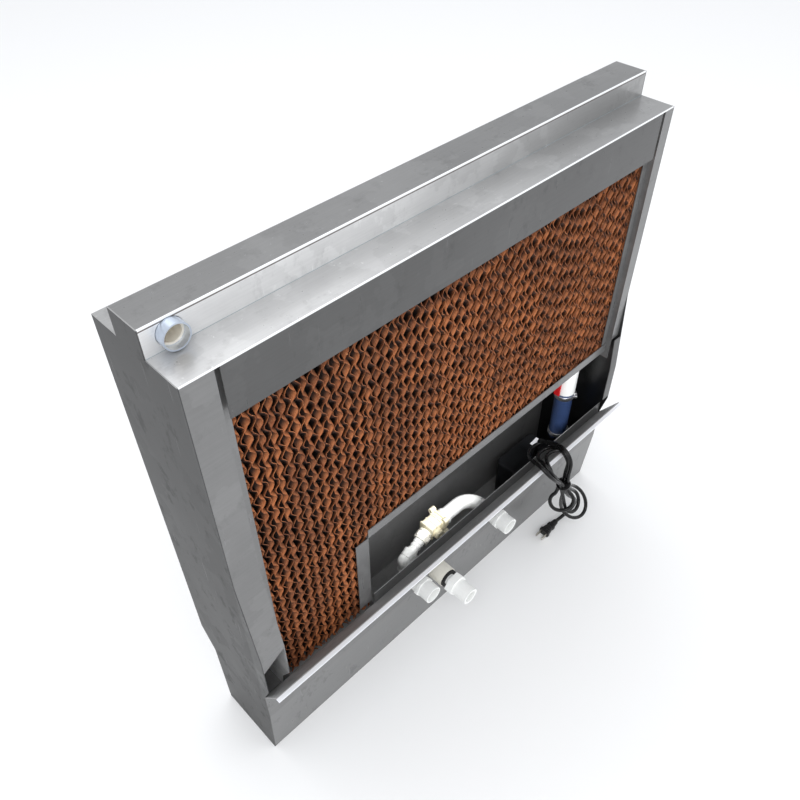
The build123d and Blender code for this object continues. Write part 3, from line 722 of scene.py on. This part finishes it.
def valve_body(made):
    """Moulded box with a raised rim at both ends, a rib and a round bonnet in front"""
    low, high = drawn_box("inlet_valve")
    middle, half = (low.z + high.z) / 2, (high.z - low.z) / 2
    depth = high.y - half
    place = facing((low.x, depth, middle), (1, 0, 0))
    length = high.x - low.x
    stations = [
        (0, half - 1, half - 1), (0.5, half, half), (2.5, half, half), (3, half - 1.4, half - 1.4),
        (length / 2 - 1, half - 1.4, half - 1.4), (length / 2 - 0.8, half - 0.3, half - 0.3),
        (length / 2 + 0.8, half - 0.3, half - 0.3), (length / 2 + 1, half - 1.4, half - 1.4),
        (length - 3, half - 1.4, half - 1.4), (length - 2.5, half, half), (length, half, half),
    ]
    prism(made, stations, place, corner=3.0)
    bonnet = [(9.4, 0), (9.4, 5), (8.6, 5.6), (8.6, 8.4), (7.6, 9.6), (3.5, 9.8), (3.2, 8.8)]
    turned(made, bonnet, facing((low.x + length / 2, depth - half + 2, middle - 3), (0, -1, 0)))


def outlet_axis():
    """Where the valve's outlet starts and the way that it points."""
    low, high = drawn_box("inlet_valve")
    droop = math.radians(16)
    middle, half = (low.z + high.z) / 2, (high.z - low.z) / 2
    out = Vector((-math.cos(droop), -0.12, -math.sin(droop))).normalized()
    return Vector((low.x, high.y - half, middle - 4)), out


def ribbed_nut(made):
    """Union nut with a grooved grip and four small wings"""
    start, out = outlet_axis()
    place = facing(start - out * 2, out)
    profile = [
        (10.2, 0), (12.6, 0.6), (12.6, 4), (11.2, 4.6), (12.9, 6), (13.5, 7), (13.5, 17), (12.6, 19),
    ]
    rings, spokes = [], 48
    for radius, height in profile:
        ring = []
        for spoke in range(spokes):
            groove = 0.55 if spoke % 4 < 2 and 5 < height < 18 else 0.0
            angle, reach = math.tau * spoke / spokes, radius - groove
            spot = Vector((reach * math.cos(angle), reach * math.sin(angle), height))
            ring.append(place @ (spot * MM))
        rings.append(ring)
    ring_loft(made, rings)
    for turn in range(4):
        around = place @ Matrix.Rotation(math.tau * turn / 4 + 0.35, 4, "Z")
        wing = around @ Matrix.Translation((13.4 * MM, 0, 0))
        stations = [(8, 2.2, 1.3), (8.6, 2.6, 1.7), (15.4, 2.6, 1.7), (16, 2.2, 1.3)]
        prism(made, stations, wing, corner=0.8)


def stepped_nipple(made):
    """Hose tail with two steps"""
    start, out = outlet_axis()
    profile = [
        (9.0, -1), (9.5, 0), (9.5, 7), (8.4, 7.6), (8.4, 10), (9.3, 10.6), (9.3, 14), (8.2, 14.8),
        (8.2, 18), (9.5, 19), (9.5, 25),
    ]
    turned(made, profile, facing(start + out * 17, out))


def domed_elbow(made):
    """Elbow whose upright leg opens downwards and ends in a dome on top"""
    start, out = outlet_axis()
    joint = start + out * 41
    knee = joint + out * 16.5
    inlet = [(9.4, 0), (12.6, 0.3), (13.2, 1), (13.2, 5), (12.6, 6), (12.4, 14), (9.0, 17)]
    turned(made, inlet, facing(joint - out * 1, out))
    foot = knee - Vector((0, 0, 24))
    bore = [(10.2, 14), (10.2, 0)]
    wall = [(13.4, 0), (13.4, 3), (12.9, 3.6), (12.9, 14), (13.4, 15)]
    rise = [math.radians(angle) for angle in range(0, 90, 10)]
    dome = [(13.4 * math.cos(angle), 22 + 13.0 * math.sin(angle)) for angle in rise]
    turned(made, bore + wall + dome + [(0.6, 35)], facing(foot, (0, 0, 1)))


class CASE_OT_pipework(bpy.types.Operator):
    """Finishes the pipes and builds the inlet bend, its union, the valve and its outlet in detail"""

    bl_idname = "cooling_pad.pipework"
    bl_label = "Pipes and fittings"

    def execute(self, context):
        white = moulded("white_pipe", (250, 251, 249), 0.3, grime=0.06)
        cream = moulded("cream_moulding", (244, 236, 208), 0.42)
        ivory = moulded("ivory_moulding", (240, 237, 226), 0.4)
        black = moulded("black_washer", (24, 24, 24), 0.6)
        dress_slots(white_pvc=white, cream_plastic=ivory, black_rubber=black)
        dress("supply_stub", stub_finish())
        dress("riser_valve", white)
        fitting("inlet_bend", inlet_bend, white, ["inlet_pipe"])
        fitting("union_plate", union_plate, cream, ["inlet_union"])
        fitting("valve_body", valve_body, cream, ["inlet_valve"])
        fitting("ribbed_nut", ribbed_nut, ivory, ["outlet_nut"], smooth=25)
        fitting("stepped_nipple", stepped_nipple, white, ["outlet_nipple"])
        fitting("domed_elbow", domed_elbow, white, ["outlet_elbow"])
        return {"FINISHED"}


def hose_finish():
    """Navy hose with a fine crossed braid under its skin."""
    finish = Finish("navy_hose", Roughness=0.42)
    across, deep, up = finish.mm
    around = (deep - HOSE_AXIS[1]).do("ARCTAN2", across - HOSE_AXIS[0]) * 16.5
    one = ((around + up) * 1.6).do("SINE")
    other = ((around - up) * 1.6).do("SINE")
    braid = one.do("MAXIMUM", other)
    dirt = finish.noise(60.0, 4.0).step(0.4, 0.7)
    colour = finish.mix(braid.step(0.2, 1.0) * 0.5, linear(42, 60, 100), linear(70, 92, 134))
    colour = finish.mix(dirt * 0.25, colour, linear(26, 34, 58))
    return finish.feed(Base_Color=colour, Normal=finish.bump(braid, 0.0004, 0.6))


def band_clamp(node):
    """Worm-drive clamp: band, raised strap on it, screw housing and hex-headed screw."""
    low, high = drawn_box(node)
    middle = (low.z + high.z) / 2

    def build(made):
        ring = facing((*HOSE_AXIS, middle), (0, 0, 1))
        band = [(16.55, -4.5), (17.5, -4.4), (17.5, 4.4), (16.55, 4.5)]
        strap = [(17.45, -3.6), (18.2, -3.5), (18.2, 3.5), (17.45, 3.6)]
        for profile in (band, strap):
            turned(made, profile, ring, sides=60, closed=True)
        spot = Vector((HOSE_AXIS[0] + 14.4, HOSE_AXIS[1] - 11.2, middle))
        along = Vector((0.61, 0.79, 0))
        housing = [(0, 3.6, 3.2), (0.6, 4, 3.6), (14.4, 4, 3.6), (15, 3.6, 3.2)]
        prism(made, housing, facing(spot - along * 7.5, along), corner=1.6)
        screw = [(2.4, -0.6), (3.4, 0), (3.4, 3.6), (2.2, 4.4), (2.2, 26)]
        turned(made, screw, facing(spot - along * 12.0, along), sides=6)

    return build


def pump_plate(made):
    """Blank pale plate on top of the pump"""
    place = facing((696, 72, 104.0), (0, 0, 1), roll=math.radians(4))
    prism(made, [(0.02, 11, 5.6), (0.5, 11, 5.6)], place, corner=1.0)


class CASE_OT_pump(bpy.types.Operator):
    """Finishes the pump, its hose and valve lever, and builds the clamps and the blank plate on top"""

    bl_idname = "cooling_pad.pump"
    bl_label = "Pump and hose"

    def execute(self, context):
        body = moulded("pump_shell", (22, 23, 25), 0.42, grime=0.3, shine=0.25)
        steel = bright_metal("clamp_band", (240, 240, 242), 0.34)
        red = moulded("red_lever", (206, 26, 30), 0.4)
        plate = moulded("pale_plate", (250, 250, 255), 0.35, grime=0.1)
        dress_slots(pump_plastic=body, red_plastic=red)
        dress("pump_hose", hose_finish())
        for node in ("hose_clamp_upper", "hose_clamp_lower"):
            fitting(node + "_band", band_clamp(node), steel, [node], smooth=30)
        fitting("pump_plate", pump_plate, plate)
        return {"FINISHED"}


# Power cord

def plug_body(made):
    """Two-pin plug: broad face, waisted grip and a ribbed neck towards the cord"""
    low, high = drawn_box("cord_plug")
    middle = (low + high) / 2
    face = low.x + 15
    place = facing((face, middle.y, middle.z), (1, 0, 0))
    grip = [
        (0, 9.0, 6.4), (0.8, 9.8, 7.2), (6, 9.8, 7.2), (7, 8.6, 6.4), (14, 7.6, 6.0), (19, 6.4, 5.4),
        (20, 7.4, 6.2), (25, 7.4, 6.2),
    ]
    neck = [
        (26, 4.6), (27.4, 5.6), (29.4, 5.6), (30.2, 4.2), (31.6, 5.2), (33.4, 5.2), (34.2, 3.9),
        (35.6, 4.8), (37.2, 4.8), (38, 3.6), (42, 3.4),
    ]
    stations = grip + [(height, half, half) for height, half in neck]
    prism(made, stations, place, corner=3.2, steps=4)


def plug_blades(made):
    """Two flat blades, 12.7 mm apart"""
    low, high = drawn_box("cord_plug")
    middle = (low + high) / 2
    for side in (-1, 1):
        place = facing((low.x, middle.y + side * 6.35, middle.z), (1, 0, 0))
        prism(made, [(0, 0.3, 2.4), (1.2, 0.8, 3.1), (16.5, 0.8, 3.2)], place, corner=0.3)


# The cord from the pump's gland to its tie, and from the tie to its plug on the floor.
LEAD = [
    (650, 40, 118), (650, 40, 150), (640, 31, 180), (627, 21, 203), (618, 6, 216), (612, -8, 226),
    (608, -24, 235), (605, -42, 237), (604, -53, 226), (604.5, -54.5, 205),
]
TAIL = [(626, -51, 116), (654, -48, 80), (680, -45, 48), (684, -42, 22), (667, -38, 9), (643, -36, 9)]
# Each turn of the hank is a bight above its tie and one below it. Above: centre and radii of the
# oval as (across, distance up and over the lip), and its tilt. Below: centre and radii in (x, z),
# tilt, y at the centre, and how y changes to the right and upwards.
BIGHTS_ABOVE = [((582, 94), (43, 25.5), 57), ((584, 80), (31, 22), 70), ((588, 67), (27, 22), 78)]
BIGHTS_BELOW = [
    ((630, 102), (20, 17), -18, -62, 0.07, 0.6), ((653, 72), (34, 26), 132, -53, -0.06, 0.62),
    ((603, 123), (20, 16), 67, -57, -0.8, 0.45),
]
# Strands inside the tie, as parts of the cord's pitch: across and outwards from the middle one.
DOWN_STRANDS = [(1, 0), (0.5, 0.87), (0.5, -0.87), (0, 0)]
UP_STRANDS = [(-1, 0), (-0.5, 0.87), (-0.5, -0.87)]
# How many layers each upper turn lies above the lip.
LAYERS = (1.1, 0.5, 0)


def bight(centre, radii, tilt, into, back, count=8):
    """Points clockwise round a tilted oval, from one point's tangent to another point's tangent"""
    tilt = math.radians(tilt)
    step_x, step_y = Vector((math.cos(tilt), math.sin(tilt))), Vector((-math.sin(tilt), math.cos(tilt)))

    def tangent(point, side):
        offset = Vector(point) - Vector(centre)
        flat = Vector((offset.dot(step_x) / radii[0], offset.dot(step_y) / radii[1]))
        return math.atan2(flat.y, flat.x) + side * math.acos(1 / flat.length)

    def spot(angle, grow=1.0):
        across, up = radii[0] * grow * math.cos(angle), radii[1] * grow * math.sin(angle)
        return Vector(centre) + step_x * across + step_y * up

    first = tangent(into, -1)
    last = tangent(back, 1)
    while last > first:
        last -= 2 * math.pi
    step = (last - first) / count
    points = [spot(first + (place + 0.5) * step, 1 / math.cos(step / 2)) for place in range(count)]
    return [2 * spot(first) - points[0]] + points + [2 * spot(last) - points[-1]]


def over_lip(across, run, layer, look):
    """Point of a strand that goes up the front, round the lip and down towards the sill"""
    front, foot, shoulder, bend, fall = -51.5, 160, 52, 20, math.radians(125)
    out = layer * look.layer
    if run < shoulder:
        return (across, front - out, foot + run)
    turn = min((run - shoulder) / bend, fall)
    left = run - shoulder - turn * bend
    y = front + bend - (bend + out) * math.cos(turn) + left * math.sin(turn)
    return (across, y, foot + shoulder + (bend + out) * math.sin(turn) + left * math.cos(turn))


def strand(place, look):
    """Where one strand passes through the tie"""
    across, out = place[0] * look.layer, place[1] * look.layer
    x, y, z = look.tie
    return (x + 0.954 * across, y - out, z + 0.3 * across)


def bight_above(shape, layer, look):
    """One turn of the hank over the lip: up from the tie, round and back down to it"""
    turn = bight(*shape, (592, 18), (602, 22))
    stations = [(592, 18, turn[0], (32, 46, 58, 70)), (602, 22, turn[-1], (106, 94, 82, 70, 58, 46, 32))]
    sides = []
    for across, run, end, places in stations:
        shares = [(place, (place - run) / (end.y - run)) for place in places if place < end.y - 6.5]
        sides.append([Vector((across + (end.x - across) * share, place)) for place, share in shares])
    return [over_lip(point.x, point.y, layer, look) for point in sides[0] + turn + sides[1]]


def bight_below(shape, look):
    """One turn of the hank below its tie, leaning out at the foot"""
    centre, radii, tilt, y, lean, rise = shape
    tie_x, tie_y, tie_z = look.tie
    ends = (tie_x + 9, tie_z - 14), (tie_x - 2, tie_z - 16)
    turn = [
        Vector((point.x, y + lean * (point.x - centre[0]) + rise * (point.y - centre[1]), point.y))
        for point in bight(centre, radii, tilt, *ends)
    ]
    ways = []
    for (x, z), point in zip(ends, (turn[0], turn[-1])):
        ways.append((x / 2 + point.x / 2, tie_y * 0.45 + point.y * 0.55, z / 2 + point.z / 2))
    return [ways[0]] + [tuple(point) for point in turn] + [ways[1]]


def cord_route(look):
    """Control points of the whole cord in drawing millimetres"""
    points = list(LEAD)
    turns = zip(DOWN_STRANDS, UP_STRANDS, BIGHTS_BELOW, BIGHTS_ABOVE, LAYERS)
    for down, up, below, above, layer in turns:
        points += [strand(down, look)] + bight_below(below, look)
        points += [strand(up, look)] + bight_above(above, layer, look)
    return points + [strand(DOWN_STRANDS[-1], look)] + TAIL


class CASE_OT_cord(bpy.types.Operator):
    """Lays the power cord as one hank over the sump lip, with its tie, strain relief and plug"""

    bl_idname = "cooling_pad.cord"
    bl_label = "Power cord"

    def execute(self, context):
        look = context.scene.cooling_cord
        rubber = moulded("cord_jacket", (11, 11, 12), 0.24, grime=0.1, shine=0.32)
        points = [at(*point) for point in cord_route(look)]
        line = bpy.data.curves.new("power_cord", "CURVE")
        line.dimensions = "3D"
        spline = line.splines.new("NURBS")
        spline.points.add(len(points) - 1)
        for knot, point in zip(spline.points, points):
            knot.co = (*point, 1.0)
        spline.order_u = 3
        spline.use_endpoint_u = True
        line.resolution_u = 6
        line.bevel_depth = look.diameter / 2
        line.bevel_resolution = 3
        line.use_fill_caps = True
        line.materials.append(rubber)
        cord = shown("power_cord", line)
        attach(cord, CASE)
        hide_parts("cord_lead", "cord_hank", "cord_tail")
        steel = bright_metal("plug_blades", (190, 186, 176))
        plug = fitting("plug_body", plug_body, rubber, ["cord_plug"], smooth=30)
        blades = fitting("plug_blades", plug_blades, steel)
        ribs = [
            (5.4, 0), (5.4, 3), (4.7, 4), (4.6, 9), (4.2, 10), (4.1, 15), (3.8, 16), (3.7, 22), (3.3, 24),
        ]
        gland = facing(LEAD[0], (0, 0, 1))
        relief = mesh_of("cord_strain_relief", lambda made: turned(made, ribs, gland, sides=24))
        relief = piece("cord_strain_relief", relief, rubber, smooth=40)
        hoop = [(11.6, -1.7), (12.6, -1.5), (12.6, 1.5), (11.6, 1.7)]
        around = facing(tuple(look.tie), (-0.30, 0, 0.954))
        band = mesh_of("cord_tie_band", lambda made: turned(made, hoop, around, sides=36))
        piece("cord_tie_band", band, rubber, smooth=40)
        return {"FINISHED"}


# Stage

# Nodes that the bay light falls on, besides the detailed fittings.
IN_THE_BAY = ("pump_body", "pump_volute", "pump_hose", "riser_valve", "riser_pipe", "valve_lever")


class CASE_OT_stage(bpy.types.Operator):
    """Sets up the pale floor, the soft lights and the camera"""

    bl_idname = "cooling_pad.stage"
    bl_label = "Stage"

    def execute(self, context):
        look = context.scene.cooling_stage
        reach = 9.0  # metres from the middle of the floor to its sides
        corners = [(x * reach, y * reach, 0) for x, y in ((-1, -1), (1, -1), (1, 1), (-1, 1))]
        floor = mesh_of("studio_floor", lambda made: made.faces.new([made.verts.new(c) for c in corners]))
        floor.materials.append(Finish("pale_floor", Base_Color=tuple(look.floor), Roughness=0.9).material)
        shown("studio_floor", floor)
        world = bpy.data.worlds.new("studio")
        world.use_nodes = True
        sky = world.node_tree.nodes["Background"]
        sky.inputs[0].default_value = tuple(look.sky)
        sky.inputs[1].default_value = look.sky_strength
        context.scene.world = world
        for name, place, aim, width, watts in (
            ("key_light", (-1.7, -1.6, 2.9), (0, 0, 0.4), 1.8, look.key),
            ("fill_light", (1.9, -2.2, 1.6), (0, 0, 0.4), 2.2, look.fill),
            ("top_light", (0.3, 1.2, 3.0), (0, 0, 0.6), 2.4, look.top),
        ):
            lamp = bpy.data.lights.new(name, "AREA")
            lamp.shape, lamp.size, lamp.energy = "SQUARE", width, watts
            light = shown(name, lamp)
            light.location = place
            light.rotation_euler = (Vector(aim) - Vector(place)).to_track_quat("-Z", "Y").to_euler()
        lamp = bpy.data.lights.new("bay_light", "SPOT")
        lamp.energy, lamp.spot_size = look.bay, math.radians(44)
        lamp.spot_blend, lamp.shadow_soft_size = 0.8, 0.12
        light = shown("bay_light", lamp)
        place, aim = at(330, -480, 880), at(480, 60, 140)
        lit = bpy.data.collections.new("open_bay")
        for node in IN_THE_BAY:
            lit.objects.link(frame["nodes"][node])
        light.light_linking.receiver_collection = lit
        light.location, light.rotation_euler = place, (aim - place).to_track_quat("-Z", "Y").to_euler()
        lens = bpy.data.cameras.new("camera")
        lens.sensor_width, lens.lens = 36.0, 36.0 * look.focal / 800
        lens.clip_start, lens.clip_end = 0.05, 40.0
        camera = shown("camera", lens)
        turn = Vector(look.camera_aim).to_track_quat("-Z", "Y") @ Quaternion((0, 0, 1), look.camera_roll)
        camera.location, camera.rotation_euler = look.camera_place, turn.to_euler()
        context.scene.camera = camera
        context.scene.view_settings.view_transform = "Standard"
        return {"FINISHED"}


# Add-on

LOOKS = {
    "cooling_sheet": SheetLook, "cooling_pads": PadLook,
    "cooling_cord": CordLook, "cooling_stage": StageLook,
}
OPERATORS = (CASE_OT_stage, CASE_OT_cord, CASE_OT_sheet, CASE_OT_pads, CASE_OT_pipework, CASE_OT_pump)


class CASE_PT_sidebar(bpy.types.Panel):
    """Lists the operators and the sizes and colours that they use"""

    bl_idname = "CASE_PT_sidebar"
    bl_label = "Cooling Pad"
    bl_space_type = "VIEW_3D"
    bl_region_type = "UI"
    bl_category = "Cooling Pad"

    def draw(self, context):
        for operator in OPERATORS:
            self.layout.operator(operator.bl_idname)
        for key, group in LOOKS.items():
            box = self.layout.box()
            box.label(text=group.__doc__)
            for name in group.__annotations__:
                box.prop(getattr(context.scene, key), name)


def register():
    for kind in (*LOOKS.values(), *OPERATORS, CASE_PT_sidebar):
        bpy.utils.register_class(kind)
    for key, group in LOOKS.items():
        setattr(bpy.types.Scene, key, bpy.props.PointerProperty(type=group))


def unregister():
    for key in LOOKS:
        delattr(bpy.types.Scene, key)
    for kind in (CASE_PT_sidebar, *OPERATORS[::-1], *list(LOOKS.values())[::-1]):
        bpy.utils.unregister_class(kind)


def main():
    """Registers the add-on and builds every piece"""
    register()
    for operator in OPERATORS:
        group, name = operator.bl_idname.split(".")
        getattr(getattr(bpy.ops, group), name)()


if __name__ == "__main__":
    main()
